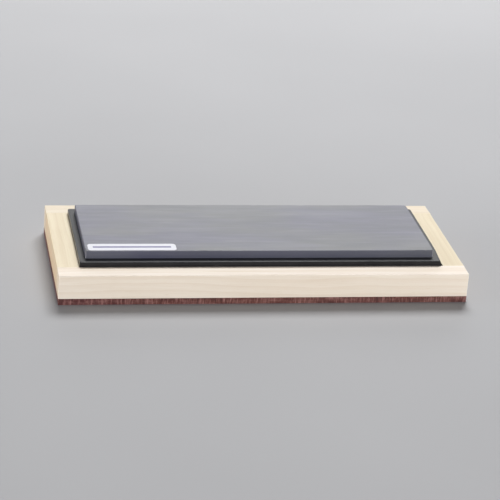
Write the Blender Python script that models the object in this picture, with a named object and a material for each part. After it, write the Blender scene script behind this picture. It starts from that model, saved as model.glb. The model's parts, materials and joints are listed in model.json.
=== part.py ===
"""A bench whetstone seated in a black rubber cradle, in a small framed wooden tray.

All sizes are in metres. +X runs along the stone, +Y towards the back and +Z up.
The origin is the middle of the tray's underside. The stone, with the label stuck on
it, lifts straight up out of the cradle. Everything else is glued up as one tray.
"""

import bmesh
import bpy
from mathutils import Vector

# Tray: a plywood panel with four glued, butt-jointed rails on it
TRAY_LENGTH = 0.178
TRAY_WIDTH = 0.077
PANEL_THICKNESS = 0.0027
PANEL_EDGE = 0.0002
RAIL_HEIGHT = 0.0104
SIDE_RAIL_WIDTH = 0.0090
END_RAIL_WIDTH = 0.0094
RAIL_EDGE = 0.0005

# Cradle: a moulded block with a pocket, standing a little proud of the rails
CRADLE_RISE = 0.0022
CRADLE_DRAFT = 0.0006
CRADLE_FLOOR = 0.0031
CRADLE_EDGE = 0.0003

# Stone: six inches by two by a half, set slightly to the left in its cradle
STONE_LENGTH = 0.1524
STONE_WIDTH = 0.0508
STONE_THICKNESS = 0.0127
STONE_SHIFT = -0.0006
STONE_EDGE = 0.0004

# Label: a small sticker at the stone's front left corner
LABEL_LENGTH = 0.038
LABEL_WIDTH = 0.0067
LABEL_THICKNESS = 0.0002
LABEL_FILM = 0.0001
LABEL_END_MARGIN = 0.0012
LABEL_SIDE_MARGIN = 0.0004
LABEL_CORNER = 0.0015

GAP = 0.0003  # clearance between pieces that touch
CUTTER_REACH = 0.004  # how far the pocket's cutter stands out of the cradle

EDGE_STEPS = 2
CORNER_STEPS = 6

# Worked out from the sizes above
RAIL_BASE = PANEL_THICKNESS + GAP
RAIL_TOP = RAIL_BASE + RAIL_HEIGHT
CRADLE_LENGTH = TRAY_LENGTH - 2 * END_RAIL_WIDTH - 2 * GAP
CRADLE_WIDTH = TRAY_WIDTH - 2 * SIDE_RAIL_WIDTH - 2 * GAP
POCKET_FLOOR = RAIL_BASE + CRADLE_FLOOR
STONE_BASE = POCKET_FLOOR + GAP

UP, DOWN = Vector((0, 0, 1)), Vector((0, 0, -1))
LEFT, RIGHT = Vector((-1, 0, 0)), Vector((1, 0, 0))
FRONT, BACK = Vector((0, -1, 0)), Vector((0, 1, 0))
SIDES = (LEFT, RIGHT, FRONT, BACK)


def clear_scene():
    """Removes every object, so that the script can be run again in an open file."""
    for old in list(bpy.data.objects):
        bpy.data.objects.remove(old, do_unlink=True)


def finish(name, color, roughness):
    """A plain Principled material."""
    material = bpy.data.materials.new(name)
    material.use_nodes = True
    shader = material.node_tree.nodes["Principled BSDF"]
    shader.inputs["Base Color"].default_value = (*color, 1.0)
    shader.inputs["Roughness"].default_value = roughness
    shader.inputs["Metallic"].default_value = 0.0
    return material


def block(length, width, height):
    """A box centred on the origin in X and Y, and standing on it."""
    bm = bmesh.new()
    bmesh.ops.create_cube(bm, size=1.0)
    bmesh.ops.translate(bm, vec=(0, 0, 0.5), verts=bm.verts)
    bmesh.ops.scale(bm, vec=(length, width, height), verts=bm.verts)
    return bm


def edges_between(bm, directions):
    """The edges whose two faces both look roughly along one of the directions."""
    bm.normal_update()

    def exposed(face):
        return any(face.normal.dot(direction) > 0.9 for direction in directions)

    return [edge for edge in bm.edges if all(exposed(face) for face in edge.link_faces)]


def soften(bm, directions, width, steps=EDGE_STEPS):
    """Rounds the edges between faces that look along the given directions."""
    bmesh.ops.bevel(
        bm,
        geom=edges_between(bm, directions),
        offset=width,
        offset_type="OFFSET",
        segments=steps,
        profile=0.5,
        affect="EDGES",
    )


def place(name, bm, location, material=None, parent=None):
    """Turns the mesh into a named object at a place given relative to its parent."""
    mesh = bpy.data.meshes.new(name)
    bmesh.ops.recalc_face_normals(bm, faces=bm.faces)
    bm.to_mesh(mesh)
    bm.free()
    piece = bpy.data.objects.new(name, mesh)
    piece.location = location
    piece.parent = parent
    if material:
        mesh.materials.append(material)
    bpy.context.scene.collection.objects.link(piece)
    return piece


def rail(name, length, width, location, outer_sides, material):
    """A rail with rounded edges only where it is the outside of the tray."""
    bm = block(length, width, RAIL_HEIGHT)
    soften(bm, (UP, *outer_sides), RAIL_EDGE)
    return place(name, bm, location, material)


def build_panel(material):
    bm = block(TRAY_LENGTH, TRAY_WIDTH, PANEL_THICKNESS)
    soften(bm, (DOWN, *SIDES), PANEL_EDGE)
    return place("bottom_panel", bm, (0, 0, 0), material)


def build_rails(side_wood, end_wood):
    """Two long rails, and two short ones butted between them."""
    side_y = (TRAY_WIDTH - SIDE_RAIL_WIDTH) / 2
    end_x = (TRAY_LENGTH - END_RAIL_WIDTH) / 2
    end_length = TRAY_WIDTH - 2 * SIDE_RAIL_WIDTH - 2 * GAP
    for name, y, outer in (("front_rail", -side_y, FRONT), ("back_rail", side_y, BACK)):
        spot = (0, y, RAIL_BASE)
        rail(name, TRAY_LENGTH, SIDE_RAIL_WIDTH, spot, (outer, LEFT, RIGHT), side_wood)
    for name, x, outer in (("left_end_rail", -end_x, LEFT), ("right_end_rail", end_x, RIGHT)):
        rail(name, END_RAIL_WIDTH, end_length, (x, 0, RAIL_BASE), (outer,), end_wood)


def build_cradle(material):
    """The block fills the frame's opening, then tapers in above the rails."""
    bm = block(CRADLE_LENGTH, CRADLE_WIDTH, RAIL_HEIGHT)
    top = max(bm.faces, key=lambda face: face.calc_center_median().z)
    raised = bmesh.ops.extrude_face_region(bm, geom=[top])["geom"]
    for vert in (item for item in raised if isinstance(item, bmesh.types.BMVert)):
        vert.co.x -= CRADLE_DRAFT if vert.co.x > 0 else -CRADLE_DRAFT
        vert.co.y -= CRADLE_DRAFT if vert.co.y > 0 else -CRADLE_DRAFT
        vert.co.z += CRADLE_RISE
    bm.faces.remove(top)
    rim = [
        edge
        for edge in bm.edges
        if all(vert.co.z > RAIL_HEIGHT + CRADLE_RISE / 2 for vert in edge.verts)
    ]
    bmesh.ops.bevel(
        bm, geom=rim, offset=CRADLE_EDGE, segments=EDGE_STEPS, profile=0.5, affect="EDGES"
    )
    cradle = place("stone_cradle", bm, (0, 0, RAIL_BASE), material)

    depth = RAIL_HEIGHT + CRADLE_RISE - CRADLE_FLOOR
    pocket = block(STONE_LENGTH + 2 * GAP, STONE_WIDTH + 2 * GAP, depth + CUTTER_REACH)
    cutter = place("pocket_cutter", pocket, (STONE_SHIFT, 0, POCKET_FLOOR))
    cutter.hide_render = True
    cutter.display_type = "WIRE"
    cut = cradle.modifiers.new("Pocket", "BOOLEAN")
    cut.operation = "DIFFERENCE"
    cut.solver = "EXACT"
    cut.object = cutter
    return cradle


def build_stone(material):
    bm = block(STONE_LENGTH, STONE_WIDTH, STONE_THICKNESS)
    soften(bm, (UP, DOWN, *SIDES), STONE_EDGE)
    return place("whetstone", bm, (STONE_SHIFT, 0, STONE_BASE), material)


def build_label(material, stone):
    """A thin sheet with round corners, stuck near the stone's front left corner."""
    bm = block(LABEL_LENGTH, LABEL_WIDTH, LABEL_THICKNESS)
    soften(bm, SIDES, LABEL_CORNER, CORNER_STEPS)
    x = (LABEL_LENGTH - STONE_LENGTH) / 2 + LABEL_END_MARGIN
    y = (LABEL_WIDTH - STONE_WIDTH) / 2 + LABEL_SIDE_MARGIN
    return place("label", bm, (x, y, STONE_THICKNESS + LABEL_FILM), material, stone)


def build():
    clear_scene()
    build_panel(finish("red_plywood", (0.130, 0.060, 0.052), 0.70))
    build_rails(
        finish("pale_wood", (0.800, 0.700, 0.560), 0.60),
        finish("cream_wood", (0.790, 0.680, 0.480), 0.60),
    )
    build_cradle(finish("black_rubber", (0.016, 0.016, 0.018), 0.45))
    stone = build_stone(finish("blue_grey_stone", (0.130, 0.135, 0.165), 0.35))
    build_label(finish("white_paper", (0.850, 0.850, 0.880), 0.55), stone)


build()
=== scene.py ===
"""Looks for a bench whetstone in its black rubber cradle and small wooden tray.

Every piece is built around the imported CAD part, in metres. +X runs along the stone,
+Y towards the back and +Z up. A piece takes its place from the CAD node that it
stands for.
"""

import json
import math
import random

import bpy
from mathutils import Matrix, Vector, noise


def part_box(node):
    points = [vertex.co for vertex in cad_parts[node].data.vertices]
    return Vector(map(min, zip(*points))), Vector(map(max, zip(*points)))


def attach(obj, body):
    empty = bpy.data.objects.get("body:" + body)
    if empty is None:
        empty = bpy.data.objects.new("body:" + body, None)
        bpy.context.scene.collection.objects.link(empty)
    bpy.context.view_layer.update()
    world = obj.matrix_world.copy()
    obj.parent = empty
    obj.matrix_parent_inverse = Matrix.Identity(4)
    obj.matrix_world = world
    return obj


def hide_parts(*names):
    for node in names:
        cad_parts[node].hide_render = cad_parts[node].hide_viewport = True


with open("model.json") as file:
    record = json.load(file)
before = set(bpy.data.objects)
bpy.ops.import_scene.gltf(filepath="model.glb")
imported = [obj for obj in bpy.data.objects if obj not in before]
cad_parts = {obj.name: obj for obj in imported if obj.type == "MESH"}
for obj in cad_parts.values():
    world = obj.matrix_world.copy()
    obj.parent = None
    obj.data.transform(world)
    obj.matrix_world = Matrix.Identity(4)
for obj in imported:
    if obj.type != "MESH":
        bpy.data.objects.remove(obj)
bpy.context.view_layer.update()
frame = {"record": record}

MM = 0.001
TINY = 1e-9

# Camera: where it stands, how it is turned, and its lens and sensor in millimetres
CAMERA_PLACE = Vector((-0.16407, -0.79396, 0.36083))
CAMERA_YAW = math.radians(11.62)
CAMERA_PITCH = math.radians(23.52)
CAMERA_ROLL = math.radians(4.54)
CAMERA_LENS = 143.35
CAMERA_SENSOR = 36

# Lights: each one's place, size and power. They all look at the origin.
SOFTBOXES = {
    "back_softbox": ((0.1, 1.7, 0.44), (2.5, 0.68), 11.6),
    "key_softbox": ((0.3, 1.1, 1.45), (0.9, 0.7), 36),
    "front_card": ((0.85, -1.4, 0.17), (2.8, 0.34), 29),
    "left_card": ((-1.7, -0.1, 0.25), (1.2, 0.5), 18.5),
}
WORLD_COLOR = (0.95, 0.96, 1.0)
WORLD_STRENGTH = 0.15

# Floor: half its width, and its darker and lighter tones
FLOOR_REACH = 6.0
FLOOR_SHADE = (0.37, 0.37, 0.38)
FLOOR_PALE = (0.39, 0.39, 0.40)

# Edges: a broken outer edge, and the nearly sharp edge at a joint
WOOD_EDGE = 0.30 * MM
PANEL_EDGE = 0.20 * MM
STONE_EDGE = 0.15 * MM
JOINT_EDGE = 0.06 * MM
EDGE_BLEND = 1.5 * MM  # the length over which one turns into the other
EDGE_WANDER = ((0.35, 260), (0.15, 900))  # unevenness, as shares and waves in a metre
EDGE_LIMIT = 0.45  # the most an edge may take of a block's least thickness
JOINT_LINE = 0.06 * MM  # the glue line left open between two pieces of wood

# How finely the blocks' faces are cut along X, Y and Z
PANEL_STEP = (3 * MM, 3 * MM, 1 * MM)
RAIL_STEP = (3 * MM, 3 * MM, 2 * MM)
STONE_STEP = (1 * MM, 3 * MM, 2 * MM)

# Cradle: its outside, rounded lip and pocket
CRADLE_REACH = 0.24 * MM  # how far it is let out to meet the rails
CRADLE_CORNER = 0.9 * MM
CRADLE_TAPER = 0.04 * MM  # how far its sides lean in below the lip
LIP_WIDTH = 0.6 * MM
LIP_HEIGHT = 0.35 * MM
LIP_RING = 2  # the ring that the lip starts at, counted from 0 at the bottom
POCKET_GAP = 0.06 * MM  # beside the stone
POCKET_UNDER = 0.3 * MM  # below the stone
POCKET_MOUTH = 0.06 * MM
POCKET_CORNER = 0.5 * MM
POCKET_FILLET = 0.25 * MM
CURVE_STEPS = 4
SET_BACK = Vector((-0.9 * MM, 0, 0))  # how the front right top corner gives way
SET_BACK_SIZE = 9 * MM

# Stone: nicks along its long edges, and corners rubbed round
NICKS = 16
NICK_MARGIN = 3 * MM
NICK_SIZE = (0.6 * MM, 1.4 * MM)
NICK_DEPTH = (0.1 * MM, 0.35 * MM)
RUBBED_SHARES = (0.1, 0.4, 0.7, 1.0)  # places up each corner
RUBBED_SIZE = 1.6 * MM
RUBBED_DEPTH = 0.32 * MM

# Label: its outline, its faces' heights above the stone, and its printed stripe
LABEL_CORNER = 1.5 * MM
LABEL_EDGE = 0.04 * MM
LABEL_UNDER = 0.02 * MM
LABEL_OVER = 0.14 * MM
STRIPE_MARGIN = 2.2 * MM
STRIPE_HALF = 0.85 * MM
STRIPE_FADE = 0.08 * MM

# Wood: end is the end grain, and side the upright faces along the grain, painted darker and warmer
# than the top as painted shade
FRONT_RAIL_TONES = {
    "light": (0.85, 0.775, 0.69),
    "dark": (0.785, 0.69, 0.58),
    "ring": (0.66, 0.53, 0.39),
    "end": (0.78, 0.65, 0.49),
    "side": (0.815, 0.725, 0.615),
}
BACK_RAIL_TONES = {
    "light": (0.76, 0.675, 0.54),
    "dark": (0.71, 0.615, 0.47),
    "ring": (0.60, 0.47, 0.32),
    "end": (0.74, 0.61, 0.45),
    "side": (0.75, 0.66, 0.53),
}
END_RAIL_TONES = {
    "light": (0.75, 0.655, 0.475),
    "dark": (0.70, 0.60, 0.42),
    "ring": (0.58, 0.45, 0.28),
    "end": (0.70, 0.56, 0.38),
    "side": (0.74, 0.53, 0.34),
}
RING_WIDTH = 2.3 * MM
RING_WANDER = 2.2 * MM
BOARD_SHIFT = (0.17, 0.09, 0.23)  # moves the pattern from one board to the next

# Rails: grain is the axis that the fibres run along, pith is where the tray's middle
# lies from the middle of the growth rings, and outer names the sides with broken edges
RAILS = {
    "front_rail": {
        "grain": 0,
        "pith": (0.0, 0.075, 0.022),
        "tones": FRONT_RAIL_TONES,
        "outer": ("left", "right", "front", "top"),
    },
    "back_rail": {
        "grain": 0,
        "pith": (0.0, -0.070, 0.030),
        "tones": BACK_RAIL_TONES,
        "outer": ("left", "right", "back", "top"),
    },
    "left_end_rail": {
        "grain": 1,
        "pith": (0.120, 0.0, 0.026),
        "tones": END_RAIL_TONES,
        "outer": ("left", "top"),
    },
    "right_end_rail": {
        "grain": 1,
        "pith": (-0.125, 0.0, 0.018),
        "tones": END_RAIL_TONES,
        "outer": ("right", "top"),
    },
}

# Plywood: its tones, and its glue lines' heights as shares of the thickness
PLY_CRIMSON = (0.090, 0.020, 0.021)
PLY_RUST = (0.115, 0.032, 0.023)
PLY_PALE = (0.36, 0.18, 0.16)
PLY_SHADOW = (0.05, 0.014, 0.014)
PLY_STREAK = (0.045, 0.012, 0.013)
PLY_PORE = (0.03, 0.010, 0.009)
PLY_SEAMS = (0.30, 0.72)
PLY_SEAM_HALF = 0.07 * MM
PLY_SEAM_WANDER = 0.07 * MM

# Stone, rubber and paper
STONE_BLUE = (0.074, 0.074, 0.118)
STONE_NEUTRAL = (0.094, 0.097, 0.106)
STONE_DARK = (0.046, 0.050, 0.070)
STONE_LIGHT = (0.150, 0.155, 0.180)
STONE_SCRATCH = (0.17, 0.175, 0.195)
STONE_SHADED_SIDE = (0.050, 0.053, 0.092)
STONE_WORN_AND_HIGHLIGHT = (0.33, 0.33, 0.36)
RUBBER_DEEP = (0.009, 0.0092, 0.0115)
RUBBER_FADED = (0.017, 0.017, 0.0195)
RUBBER_DUSTY = (0.10, 0.095, 0.09)
RUBBER_WORN_AND_HIGHLIGHT = (0.06, 0.06, 0.065)
PAPER_SHADE = (0.65, 0.65, 0.70)
PAPER_WHITE = (0.71, 0.71, 0.76)
PAPER_INK = (0.13, 0.125, 0.26)

AXES = (0, 1, 2)
SIDES = {  # each side's axis, and which end of it
    "left": (0, 0),
    "right": (0, 1),
    "front": (1, 0),
    "back": (1, 1),
    "bottom": (2, 0),
    "top": (2, 1),
}


# ---------------------------------------------------------------- mesh helpers


def stations(low, high, radius, step, turns=3):
    """Places along one axis: close together over a rounded edge at both ends."""
    rounding = [
        radius * (1 - math.tan(math.pi / 4 * (turns - k) / turns)) for k in range(turns + 1)
    ]
    inner = high - low - 2 * radius
    count = max(1, round(inner / step))
    middle = [low + radius + inner * k / count for k in range(1, count)]
    return [low + d for d in rounding] + middle + [high - d for d in reversed(rounding)]


def shell(grids):
    """Vertices and quads of a box whose faces are cut along the three lists of places."""
    index, points, quads = {}, [], []

    def corner(key):
        if key not in index:
            index[key] = len(points)
            points.append(Vector(grids[axis][key[axis]] for axis in AXES))
        return index[key]

    for axis in AXES:
        one, two = (axis + 1) % 3, (axis + 2) % 3
        for end in (0, len(grids[axis]) - 1):
            for i in range(len(grids[one]) - 1):
                for j in range(len(grids[two]) - 1):
                    quad = []
                    for a, b in ((0, 0), (1, 0), (1, 1), (0, 1)):
                        key = [0, 0, 0]
                        key[axis], key[one], key[two] = end, i + a, j + b
                        quad.append(corner(tuple(key)))
                    quads.append(quad if end else quad[::-1])
    return points, quads


def rounded(point, low, high, radius):
    """The point moved onto the rounded box, and how far round an edge it is, 0 to 1."""
    inner = Vector(min(max(point[a], low[a] + radius), high[a] - radius) for a in AXES)
    out = point - inner
    length = out.length
    if length < TINY:
        return point.copy(), 0.0
    out /= length
    turn = (1 - max(abs(c) for c in out)) / (1 - math.sqrt(0.5))
    return inner + out * radius, min(1.0, turn)


def exposure(point, low, high, outer):
    """1 at an outer edge, falling to 0 near a side that another piece touches."""
    share = 1.0
    for name, (axis, end) in SIDES.items():
        if name in outer:
            continue
        gap = high[axis] - point[axis] if end else point[axis] - low[axis]
        t = min(1.0, max(0.0, gap / EDGE_BLEND))
        share *= t * t * (3 - 2 * t)
    return share


def mesh_piece(name, points, faces, material, wear_and_highlight=None):
    """A smooth-shaded object at the origin, with a value from 0 to 1 at each point for how far
    round an edge it is.
    """
    mesh = bpy.data.meshes.new(name)
    mesh.from_pydata(points, [], faces)
    mesh.validate()
    if wear_and_highlight:
        layer = mesh.attributes.new("wear_and_highlight", "FLOAT", "POINT")
        layer.data.foreach_set("value", wear_and_highlight)
    mesh.shade_smooth()
    mesh.materials.append(material)
    piece = bpy.data.objects.new(name, mesh)
    bpy.context.scene.collection.objects.link(piece)
    return piece


def slab(name, low, high, edge, step, outer, material, chips=()):
    """A block whose outer edges are broken unevenly and whose joint edges stay crisp.

    chips are (place, size, depth): the edge is rounded further around each place.
    """
    widest = edge * (1 + sum(share for share, _ in EDGE_WANDER))
    reach = widest + max((depth for _, _, depth in chips), default=0.0)
    reach = min(reach, EDGE_LIMIT * min(high[a] - low[a] for a in AXES))
    grids = [stations(low[a], high[a], reach, step[a]) for a in AXES]
    points, faces = shell(grids)
    skin, wear_and_highlight = [], []
    for point in points:
        uneven = 1 + sum(share * noise.noise(point * waves) for share, waves in EDGE_WANDER)
        radius = JOINT_EDGE + (edge * uneven - JOINT_EDGE) * exposure(point, low, high, outer)
        for place, size, depth in chips:
            radius += depth * math.exp(-((point - place).length_squared) / size**2)
        moved, turn = rounded(point, low, high, min(radius, reach))
        skin.append(moved)
        wear_and_highlight.append(turn)
    return mesh_piece(name, skin, faces, material, wear_and_highlight)


def ring(middle, half, corner, z, turns=6, cuts=(40, 16)):
    """A rectangle with round corners, as points that run anticlockwise.

    cuts is how many lengths its long and its short sides are cut into.
    """
    points = []
    for quarter, (sx, sy) in enumerate(((1, -1), (1, 1), (-1, 1), (-1, -1))):
        x = middle[0] + sx * (half[0] - corner)
        y = middle[1] + sy * (half[1] - corner)
        for k in range(turns + 1):
            angle = math.pi / 2 * (quarter - 1 + k / turns)
            points.append(Vector((x + corner * math.cos(angle), y + corner * math.sin(angle), z)))
    filled = []
    for k, point in enumerate(points):
        filled.append(point)
        quarter, step = divmod(k, turns + 1)
        if step == turns:
            following = points[(k + 1) % len(points)]
            count = cuts[1 - quarter % 2]
            filled.extend(point.lerp(following, c / count) for c in range(1, count))
    return filled


def loft(name, rings, material, wear_and_highlight=None):
    """A closed skin over a stack of rings, capped at both ends, with one edge value for each ring.
    """
    count = len(rings[0])
    points = [point for loop in rings for point in loop]
    faces = []
    for level in range(len(rings) - 1):
        a, b = level * count, (level + 1) * count
        for k in range(count):
            n = (k + 1) % count
            faces.append((a + k, a + n, b + n, b + k))
    faces.append(tuple(reversed(range(count))))
    faces.append(tuple(range((len(rings) - 1) * count, len(rings) * count)))
    values = [value for value in wear_and_highlight for _ in range(count)] if wear_and_highlight else None
    return mesh_piece(name, points, faces, material, values)


def quarter_turn():
    """Angles from nothing to a right angle."""
    return [math.pi / 2 * k / CURVE_STEPS for k in range(CURVE_STEPS + 1)]


def keep_flats(piece, degrees=50):
    """Keeps hard creases sharp in the smooth shading."""
    piece.data.set_sharp_from_angle(angle=math.radians(degrees))
    return piece


def harden(piece, level, count):
    """Makes one ring of a loft a hard edge, where each ring has count points."""
    points = range(level * count, (level + 1) * count)
    for edge in piece.data.edges:
        if edge.vertices[0] in points and edge.vertices[1] in points:
            edge.use_edge_sharp = True


# ------------------------------------------------------------ material helpers


def new_finish(name, roughness, ior):
    """A material, its node tree and its Principled shader."""
    material = bpy.data.materials.new(name)
    material.use_nodes = True
    tree = material.node_tree
    shader = tree.nodes["Principled BSDF"]
    shader.inputs["Roughness"].default_value = roughness
    shader.inputs["IOR"].default_value = ior
    return material, tree, shader


def add(tree, kind, inputs=None, **settings):
    """A node. An input given as a socket is linked, and any other value is set."""
    made = tree.nodes.new(kind)
    for name, value in settings.items():
        setattr(made, name, value)
    for name, value in (inputs or {}).items():
        socket = made.inputs[name]
        if isinstance(value, bpy.types.NodeSocket):
            tree.links.new(value, socket)
        else:
            socket.default_value = value
    return made


def placed(tree, scale, offset=(0, 0, 0)):
    """Object coordinates in metres times scale, which is a pattern's features in a metre."""
    coordinates = add(tree, "ShaderNodeTexCoord").outputs["Object"]
    inputs = {"Vector": coordinates, "Scale": scale, "Location": offset}
    return add(tree, "ShaderNodeMapping", inputs).outputs["Vector"]


def position(tree):
    """The object coordinates X, Y and Z, in metres."""
    return add(tree, "ShaderNodeSeparateXYZ", {0: placed(tree, (1, 1, 1))}).outputs


def facing(tree):
    """How far the surface faces along X, Y and Z, from -1 to 1."""
    normal = add(tree, "ShaderNodeTexCoord").outputs["Normal"]
    return add(tree, "ShaderNodeSeparateXYZ", {0: normal}).outputs


def cloud(tree, vector, detail=3.0, roughness=0.5):
    """Noise from 0 to 1."""
    inputs = {"Vector": vector, "Scale": 1.0, "Detail": detail, "Roughness": roughness}
    return add(tree, "ShaderNodeTexNoise", inputs).outputs["Fac"]


def remap(tree, value, low, high, to_low=0.0, to_high=1.0):
    """The value's range low to high, clamped and mapped onto another range."""
    inputs = {
        "Value": value,
        "From Min": low,
        "From Max": high,
        "To Min": to_low,
        "To Max": to_high,
    }
    return add(tree, "ShaderNodeMapRange", inputs).outputs["Result"]


def calc(tree, operation, one, two=0.0):
    """One step of arithmetic on sockets or numbers."""
    made = add(tree, "ShaderNodeMath", {0: one, 1: two}, operation=operation)
    return made.outputs["Value"]


def rgb(tone, factor=1.0):
    """A tone as a shader's colour, made darker or lighter by a factor."""
    return (*(min(1.0, channel * factor) for channel in tone), 1.0)


def blend(tree, share, one, two):
    """Two colours mixed by a share, which may be a number or a socket."""
    made = add(tree, "ShaderNodeMix", {0: share, 6: one, 7: two}, data_type="RGBA")
    return made.outputs[2]


def tint(tree, color, other, value, start, full, share=1.0):
    """The colour moved towards another, by up to share as the value goes start to full."""
    return blend(tree, remap(tree, value, start, full, 0.0, share), color, other)


def attribute(tree, name):
    """A number kept at each point of the mesh."""
    made = add(tree, "ShaderNodeAttribute", attribute_name=name)
    return made.outputs["Fac"]


def distance(tree, value, place):
    """How far the value is from a place, either way."""
    return calc(tree, "ABSOLUTE", calc(tree, "SUBTRACT", value, place))


def bumped(tree, shader, height, depth, strength, under=None):
    """Drives the shader's normal with a height, over another bump if one is given."""
    inputs = {"Height": height, "Distance": depth, "Strength": strength}
    if under:
        inputs["Normal"] = under
    normal = add(tree, "ShaderNodeBump", inputs).outputs["Normal"]
    tree.links.new(normal, shader.inputs["Normal"])
    return normal


# ------------------------------------------------------------------- materials


def late_wood(tree, grain, pith, uneven):
    """Growth rings about the pith: 0 in early wood, rising to 1 in each ring's late wood."""
    flat = [1.0] * 3
    flat[grain] = 0.0
    from_pith = placed(tree, tuple(flat), pith)
    radius = add(tree, "ShaderNodeVectorMath", {0: from_pith}, operation="LENGTH").outputs["Value"]
    wander = remap(tree, uneven, 0.25, 0.75, -RING_WANDER, RING_WANDER)
    rings = calc(tree, "DIVIDE", calc(tree, "ADD", radius, wander), RING_WIDTH)
    return remap(tree, calc(tree, "FRACT", rings), 0.35, 0.92)


def pale_wood(name, board, grain, pith, tones):
    """Sanded softwood: soft bands, growth rings about a far pith, fibres and pores, with painted
    shade on the upright faces and a painted highlight on the rounded edges.

    board moves the pattern, and grain is the axis that the fibres run along.
    """
    material, tree, shader = new_finish(name, roughness=0.6, ior=1.45)
    ring_tone = rgb(tones["ring"])
    shift = tuple(board * step for step in BOARD_SHIFT)

    def grained(length, width, **settings):
        """Noise whose features are long along the grain and narrow across it."""
        scale = [1 / width] * 3
        scale[grain] = 1 / length
        return cloud(tree, placed(tree, tuple(scale), shift), **settings)

    late = late_wood(tree, grain, pith, grained(110 * MM, 30 * MM, detail=2.0))
    band_tone = grained(120 * MM, 3.5 * MM, detail=3.0, roughness=0.45)
    blotch = grained(50 * MM, 16 * MM, detail=2.0)
    fibre = grained(16 * MM, 0.35 * MM, detail=4.0, roughness=0.6)
    pore = grained(3.2 * MM, 0.16 * MM, detail=1.0)
    normal = facing(tree)
    edge_wear_and_highlight = attribute(tree, "wear_and_highlight")

    color = tint(tree, rgb(tones["light"]), rgb(tones["dark"]), band_tone, 0.36, 0.64)
    # Painted shade: the upright faces along the grain take the darker, warmer side tone
    upright = remap(tree, calc(tree, "ABSOLUTE", normal[1 - grain]), 0.55, 0.9)
    side_shade_share = calc(tree, "MULTIPLY", upright, remap(tree, band_tone, 0.3, 0.65, 1.0, 0.45))
    color = blend(tree, side_shade_share, color, rgb(tones["side"]))
    color = blend(tree, calc(tree, "MULTIPLY", late, 0.24), color, ring_tone)
    color = tint(tree, color, ring_tone, blotch, 0.42, 0.72, 0.22)
    color = tint(tree, color, ring_tone, fibre, 0.46, 0.8, 0.28)
    color = tint(tree, color, ring_tone, pore, 0.66, 0.74, 0.30)

    speck = cloud(tree, placed(tree, (3400, 3400, 3400), shift), detail=2.0)
    cut_color = blend(tree, calc(tree, "MULTIPLY", late, 0.5), rgb(tones["end"]), ring_tone)
    cut_color = tint(tree, cut_color, rgb(tones["end"], 0.45), speck, 0.5, 0.7, 0.45)
    cut = remap(tree, calc(tree, "ABSOLUTE", normal[grain]), 0.6, 0.95)
    color = blend(tree, cut, color, cut_color)
    # Painted highlight: the rounded edges are made lighter, standing in for light caught by the
    # rounding
    color = blend(tree, calc(tree, "MULTIPLY", edge_wear_and_highlight, 0.7), color, rgb(tones["light"], 1.15))
    tree.links.new(color, shader.inputs["Base Color"])

    rough = remap(tree, fibre, 0.3, 0.7, 0.52, 0.68)
    rough = calc(tree, "SUBTRACT", rough, calc(tree, "MULTIPLY", edge_wear_and_highlight, 0.1))
    tree.links.new(rough, shader.inputs["Roughness"])
    first = bumped(tree, shader, fibre, 0.05 * MM, 0.55)
    bumped(tree, shader, pore, 0.03 * MM, 0.5, first)
    return material


def ply_seams(tree):
    """1 along the two glue lines between the plies, which wander a little."""
    low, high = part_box("bottom_panel")
    uneven = cloud(tree, placed(tree, (60, 60, 60)), detail=2.0)
    wander = remap(tree, uneven, 0.3, 0.7, -PLY_SEAM_WANDER, PLY_SEAM_WANDER)
    level = calc(tree, "ADD", position(tree)["Z"], wander)
    lines = []
    for share in PLY_SEAMS:
        away = distance(tree, level, low.z + share * (high.z - low.z))
        lines.append(remap(tree, away, 0.0, PLY_SEAM_HALF, 1.0, 0.0))
    return calc(tree, "ADD", *lines)


def plywood():
    """Three plies of red-brown veneer: open-pored edges, and long grain underneath."""
    material, tree, shader = new_finish("red_plywood", roughness=0.7, ior=1.45)
    pale, pore = rgb(PLY_PALE), rgb(PLY_PORE)
    hue = cloud(tree, placed(tree, (14, 14, 14), (0.35, 0, 0)), detail=2.0)
    patch = cloud(tree, placed(tree, (170, 170, 420)), detail=3.0, roughness=0.6)
    color = tint(tree, rgb(PLY_CRIMSON), rgb(PLY_RUST), hue, 0.4, 0.6)
    color = tint(tree, color, pale, patch, 0.5, 0.72, 0.5)
    color = tint(tree, color, rgb(PLY_SHADOW), patch, 0.5, 0.3, 0.5)

    stroke = cloud(tree, placed(tree, (1500, 1500, 260)), detail=3.0, roughness=0.6)
    edge_color = tint(tree, color, pale, stroke, 0.5, 0.72, 0.75)
    edge_color = tint(tree, edge_color, rgb(PLY_STREAK), stroke, 0.5, 0.3, 0.6)
    edge_color = blend(tree, calc(tree, "MULTIPLY", ply_seams(tree), 0.5), edge_color, pore)

    fibre = cloud(tree, placed(tree, (90, 2400, 2400)), detail=4.0, roughness=0.65)
    vessel = cloud(tree, placed(tree, (260, 3600, 3600)), detail=1.0)
    face_color = tint(tree, color, pale, fibre, 0.4, 0.7, 0.6)
    face_color = tint(tree, face_color, pore, vessel, 0.62, 0.72, 0.8)

    flat = remap(tree, calc(tree, "ABSOLUTE", facing(tree)["Z"]), 0.6, 0.9)
    tree.links.new(blend(tree, flat, edge_color, face_color), shader.inputs["Base Color"])
    tree.links.new(remap(tree, fibre, 0.3, 0.7, 0.6, 0.85), shader.inputs["Roughness"])
    first = bumped(tree, shader, stroke, 0.10 * MM, 0.6)
    bumped(tree, shader, vessel, 0.06 * MM, 0.5, first)
    return material


def side_shade(tree):
    """How far painted shade darkens the stone's sides: most near the middle of its length."""
    low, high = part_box("whetstone")
    away = distance(tree, position(tree)["X"], (low.x + high.x) / 2)
    return remap(tree, away, 20 * MM, (high.x - low.x) / 2, 0.75, 0.45)


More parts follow.
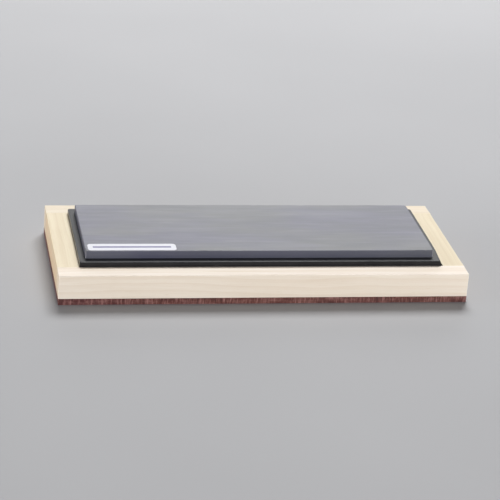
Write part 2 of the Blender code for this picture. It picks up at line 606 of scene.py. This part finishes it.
def whetstone_finish():
    """Dense blue-grey stone: a satin lapped top, sawn sides with painted shade, and matt edges,
    the upright ones partly a painted highlight.
    """
    material, tree, shader = new_finish("blue_grey_stone", roughness=0.35, ior=1.54)
    dark, light = rgb(STONE_DARK), rgb(STONE_LIGHT)
    cloudy = cloud(tree, placed(tree, (22, 85, 85)), detail=3.0)
    hue = cloud(tree, placed(tree, (13, 38, 38), (0.4, 0.1, 0)), detail=3.0)
    lap = cloud(tree, placed(tree, (34, 420, 420)), detail=4.0, roughness=0.6)
    scratch = cloud(tree, placed(tree, (60, 4800, 4800)), detail=2.0)
    grains = cloud(tree, placed(tree, (2600, 2600, 2600)), detail=2.0)
    level = calc(tree, "ABSOLUTE", facing(tree)["Z"])
    sawn_shaded_side = remap(tree, level, 0.8, 0.3)
    edge_wear_and_highlight = attribute(tree, "wear_and_highlight")

    color = tint(tree, rgb(STONE_BLUE), rgb(STONE_NEUTRAL), hue, 0.42, 0.58)
    color = tint(tree, color, dark, cloudy, 0.52, 0.3, 0.6)
    color = tint(tree, color, light, cloudy, 0.5, 0.75, 0.5)
    color = tint(tree, color, light, lap, 0.52, 0.75, 0.5)
    color = tint(tree, color, dark, lap, 0.48, 0.28, 0.4)
    color = tint(tree, color, light, grains, 0.62, 0.76, 0.35)
    color = tint(tree, color, rgb(STONE_SCRATCH), scratch, 0.66, 0.76, 0.35)
    # Painted shade: the sides are darkened, most near the middle of the length
    color = blend(tree, calc(tree, "MULTIPLY", sawn_shaded_side, side_shade(tree)), color, rgb(STONE_SHADED_SIDE))
    # Upright edges lightened: partly rubbing, partly a painted highlight on the rounded corners
    upright = remap(tree, level, 0.15, 0.5, 0.95, 0.0)
    color = blend(tree, calc(tree, "MULTIPLY", edge_wear_and_highlight, upright), color, rgb(STONE_WORN_AND_HIGHLIGHT))
    tree.links.new(color, shader.inputs["Base Color"])

    rough = remap(tree, cloudy, 0.3, 0.7, 0.32, 0.28)
    rough = calc(tree, "ADD", rough, calc(tree, "MULTIPLY", sawn_shaded_side, 0.12))
    rough = calc(tree, "ADD", rough, remap(tree, edge_wear_and_highlight, 0.0, 0.15, 0.0, 0.4))
    tree.links.new(rough, shader.inputs["Roughness"])
    first = bumped(tree, shader, lap, 0.006 * MM, 0.4)
    bumped(tree, shader, grains, 0.010 * MM, 0.5, first)
    return material


def rubber():
    """Moulded black rubber: smooth sides, a finely textured top, a little dust, and a lighter lip
    that is partly a painted highlight.
    """
    material, tree, shader = new_finish("black_rubber", roughness=0.25, ior=1.3)
    grain = cloud(tree, placed(tree, (2600, 2600, 2600)), detail=3.0)
    patch = cloud(tree, placed(tree, (70, 90, 90)), detail=4.0, roughness=0.6)
    dust = cloud(tree, placed(tree, (900, 1100, 1100)), detail=2.0)
    edge_wear_and_highlight = calc(tree, "MULTIPLY", attribute(tree, "wear_and_highlight"), 0.35)

    color = tint(tree, rgb(RUBBER_DEEP), rgb(RUBBER_FADED), patch, 0.35, 0.7)
    color = tint(tree, color, rgb(RUBBER_DUSTY), dust, 0.66, 0.8, 0.3)
    # Lighter along the lip's round and the pocket's mouth: partly rubbing, partly a painted
    # highlight
    color = blend(tree, edge_wear_and_highlight, color, rgb(RUBBER_WORN_AND_HIGHLIGHT))
    tree.links.new(color, shader.inputs["Base Color"])

    rough = remap(tree, facing(tree)["Z"], 0.1, 0.9, 0.10, 0.38)
    rough = calc(tree, "ADD", rough, remap(tree, patch, 0.3, 0.7, -0.04, 0.04))
    rough = calc(tree, "ADD", rough, calc(tree, "MULTIPLY", grain, 0.08))
    tree.links.new(rough, shader.inputs["Roughness"])
    bumped(tree, shader, grain, 0.012 * MM, 0.5)
    return material


def within(tree, value, middle, half):
    """1 within half of the middle, with a soft edge."""
    away = distance(tree, value, middle)
    return remap(tree, away, half - STRIPE_FADE, half + STRIPE_FADE, 1.0, 0.0)


def paper(middle, half):
    """White sticker paper with one plain printed stripe along its middle."""
    material, tree, shader = new_finish("label_paper", roughness=0.6, ior=1.4)
    fibre = cloud(tree, placed(tree, (1800, 2600, 2600)), detail=3.0)
    spot = position(tree)
    along = within(tree, spot["X"], middle.x, half.x - STRIPE_MARGIN)
    across = within(tree, spot["Y"], middle.y, STRIPE_HALF)
    ink = remap(tree, fibre, 0.3, 0.75, 0.95, 0.75)
    printed = calc(tree, "MULTIPLY", calc(tree, "MULTIPLY", along, across), ink)

    color = tint(tree, rgb(PAPER_SHADE), rgb(PAPER_WHITE), fibre, 0.3, 0.7)
    color = blend(tree, printed, color, rgb(PAPER_INK))
    tree.links.new(color, shader.inputs["Base Color"])
    tree.links.new(remap(tree, fibre, 0.3, 0.7, 0.52, 0.65), shader.inputs["Roughness"])
    bumped(tree, shader, fibre, 0.01 * MM, 0.5)
    return material


# ---------------------------------------------------------------------- pieces


def hand_over(piece, node):
    """The piece stands for a CAD node and moves with its body."""
    bodies = frame["record"]["behaviour"]["bodies"]
    body = next(name for name, nodes in bodies.items() if node in nodes)
    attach(piece, body)
    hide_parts(node)


def grown(node, **amounts):
    """A CAD node's box with the named sides moved out by an amount each."""
    low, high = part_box(node)
    for side, amount in amounts.items():
        axis, end = SIDES[side]
        if end:
            high[axis] += amount
        else:
            low[axis] -= amount
    return low, high


def build_panel(fill):
    """The plywood sheet, whose upper edges the rails cover."""
    low, high = grown("bottom_panel", top=fill)
    outer = ("left", "right", "front", "back", "bottom")
    piece = slab("panel_sheet", low, high, PANEL_EDGE, PANEL_STEP, outer, plywood())
    hand_over(keep_flats(piece), "bottom_panel")


def build_rail(node, board, rail, fill):
    """One rail. An end rail reaches out to the long rails, which don't grow to meet it."""
    wood = pale_wood(f"{node}_wood", board, rail["grain"], rail["pith"], rail["tones"])
    if node.endswith("end_rail"):
        low, high = grown(node, bottom=fill, front=2 * fill, back=2 * fill)
    else:
        low, high = grown(node, bottom=fill)
    piece = slab(f"{node}_timber", low, high, WOOD_EDGE, RAIL_STEP, rail["outer"], wood)
    hand_over(keep_flats(piece), node)


def build_tray():
    """Four butt-jointed rails on a thin plywood panel, with fine glue lines."""
    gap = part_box("front_rail")[0].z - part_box("bottom_panel")[1].z
    fill = (gap - JOINT_LINE) / 2
    build_panel(fill)
    for board, (node, rail) in enumerate(RAILS.items(), start=1):
        build_rail(node, board, rail, fill)


def set_back(rings, spot):
    """Moves the points near one corner, as soft rubber gives way there."""
    for point in (point for loop in rings for point in loop):
        point += SET_BACK * math.exp(-((point - spot).length_squared) / SET_BACK_SIZE**2)


def cradle_outside(low, high):
    """Rings up the sides and over the lip, and each one's share of the lighter edge colour."""
    rail_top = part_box("front_rail")[1].z
    lip_base = high.z - LIP_HEIGHT
    levels = [(0.0, low.z, 0.0), (0.0, rail_top, 0.0)]
    for angle in quarter_turn():
        inset = LIP_WIDTH - (LIP_WIDTH - CRADLE_TAPER) * math.cos(angle)
        z = lip_base + LIP_HEIGHT * math.sin(angle)
        levels.append((inset, z, math.sin(2 * angle)))

    middle, half = (low + high) / 2, (high - low) / 2
    rings = []
    for inset, z, _ in levels:
        rings.append(ring(middle, (half.x - inset, half.y - inset), CRADLE_CORNER, z))
    set_back(rings[LIP_RING:], Vector((high.x, low.y, high.z)))
    return rings, [edge_wear_and_highlight for _, _, edge_wear_and_highlight in levels]


def cradle_pocket(top):
    """Rings over the pocket's mouth, down its walls and onto its floor, and each one's share of
    the lighter edge colour.
    """
    stone_low, stone_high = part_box("whetstone")
    middle = (stone_low + stone_high) / 2
    half = (stone_high - stone_low) / 2 + Vector((POCKET_GAP, POCKET_GAP, 0))
    floor = stone_low.z - POCKET_UNDER
    rings, wear_and_highlight = [], []
    for angle in quarter_turn():
        out = POCKET_MOUTH * (1 - math.sin(angle))
        z = top - POCKET_MOUTH * (1 - math.cos(angle))
        rings.append(ring(middle, (half.x + out, half.y + out), POCKET_CORNER + out, z))
        wear_and_highlight.append(math.sin(2 * angle))
    for angle in quarter_turn():
        inset = POCKET_FILLET * (1 - math.cos(angle))
        z = floor + POCKET_FILLET * (1 - math.sin(angle))
        rings.append(ring(middle, (half.x - inset, half.y - inset), POCKET_CORNER, z))
        wear_and_highlight.append(0.0)
    return rings, wear_and_highlight


def build_cradle():
    """A moulded block with a rounded lip and a pocket, one top corner set back."""
    reach = CRADLE_REACH
    low, high = grown("stone_cradle", left=reach, front=reach, back=reach)
    rings, wear_and_highlight = cradle_outside(low, high)
    pocket_rings, pocket_wear_and_highlight = cradle_pocket(high.z)
    piece = loft("cradle_moulding", rings + pocket_rings, rubber(), wear_and_highlight + pocket_wear_and_highlight)
    keep_flats(piece, 40)
    harden(piece, LIP_RING, len(rings[0]))
    hand_over(piece, "stone_cradle")


def stone_chips(low, high):
    """Small nicks along the long edges, and a rubbed place all the way up each corner."""
    luck = random.Random(7)
    chips = []
    for _ in range(NICKS):
        x = luck.uniform(low.x + NICK_MARGIN, high.x - NICK_MARGIN)
        y = luck.choice((low.y, high.y))
        z = luck.choice((low.z, high.z, high.z))
        size = luck.uniform(*NICK_SIZE)
        chips.append((Vector((x, y, z)), size, luck.uniform(*NICK_DEPTH)))
    for x in (low.x, high.x):
        for y in (low.y, high.y):
            for share in RUBBED_SHARES:
                spot = Vector((x, y, low.z + share * (high.z - low.z)))
                chips.append((spot, RUBBED_SIZE, RUBBED_DEPTH))
    return chips


def build_stone():
    """The slab, with unevenly broken edges, a few nicks and rubbed corners."""
    low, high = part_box("whetstone")
    chips, outer = stone_chips(low, high), tuple(SIDES)
    finish = whetstone_finish()
    piece = slab("stone_slab", low, high, STONE_EDGE, STONE_STEP, outer, finish, chips)
    hand_over(keep_flats(piece), "whetstone")


def build_label():
    """A thin sticker that lies on the stone."""
    low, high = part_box("label")
    stone_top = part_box("whetstone")[1].z
    middle, half = (low + high) / 2, (high - low) / 2
    base, top = stone_top + LABEL_UNDER, stone_top + LABEL_OVER
    rings = []
    for inset, z in ((0.0, base), (0.0, top - LABEL_EDGE), (LABEL_EDGE, top)):
        rings.append(ring(middle, (half.x - inset, half.y - inset), LABEL_CORNER - inset, z))
    piece = loft("stone_label", rings, paper(middle, half))
    hand_over(keep_flats(piece, 30), "label")


# ----------------------------------------------------------------------- scene


def build_floor():
    """A plain pale floor, slightly glossy."""
    material, tree, shader = new_finish("pale_floor", roughness=0.5, ior=1.2)
    soft = cloud(tree, placed(tree, (6, 6, 6)), detail=2.0)
    color = tint(tree, rgb(FLOOR_SHADE), rgb(FLOOR_PALE), soft, 0.3, 0.7)
    tree.links.new(color, shader.inputs["Base Color"])
    corners = ((-1, -1, 0), (1, -1, 0), (1, 1, 0), (-1, 1, 0))
    points = [FLOOR_REACH * Vector(corner) for corner in corners]
    floor = mesh_piece("floor", points, [(0, 1, 2, 3)], material)


def softbox(name, place, size, power):
    """A rectangular area light that looks at the origin."""
    light = bpy.data.lights.new(name, "AREA")
    light.shape = "RECTANGLE"
    light.size, light.size_y = size
    light.energy = power
    lamp = bpy.data.objects.new(name, light)
    lamp.location = place
    lamp.rotation_euler = (-Vector(place)).to_track_quat("-Z", "Y").to_euler()
    lamp.visible_camera = False
    bpy.context.scene.collection.objects.link(lamp)


def build_lights():
    """A dim, even world and the softboxes."""
    world = bpy.data.worlds.new("studio")
    world.use_nodes = True
    background = world.node_tree.nodes["Background"]
    background.inputs["Color"].default_value = rgb(WORLD_COLOR)
    background.inputs["Strength"].default_value = WORLD_STRENGTH
    bpy.context.scene.world = world
    for name, (place, size, power) in SOFTBOXES.items():
        softbox(name, place, size, power)


def build_camera():
    """A long lens from the front left, looking down a little and tilted."""
    lens = bpy.data.cameras.new("camera")
    lens.lens = CAMERA_LENS
    lens.sensor_width = CAMERA_SENSOR
    camera = bpy.data.objects.new("camera", lens)
    turn = (
        Matrix.Rotation(-CAMERA_YAW, 4, "Z")
        @ Matrix.Rotation(math.pi / 2 - CAMERA_PITCH, 4, "X")
        @ Matrix.Rotation(CAMERA_ROLL, 4, "Z")
    )
    camera.matrix_world = Matrix.Translation(CAMERA_PLACE) @ turn
    bpy.context.scene.collection.objects.link(camera)
    bpy.context.scene.camera = camera


bpy.context.scene.view_settings.view_transform = "Standard"
build_camera()
build_floor()
build_lights()
build_tray()
build_cradle()
build_stone()
build_label()
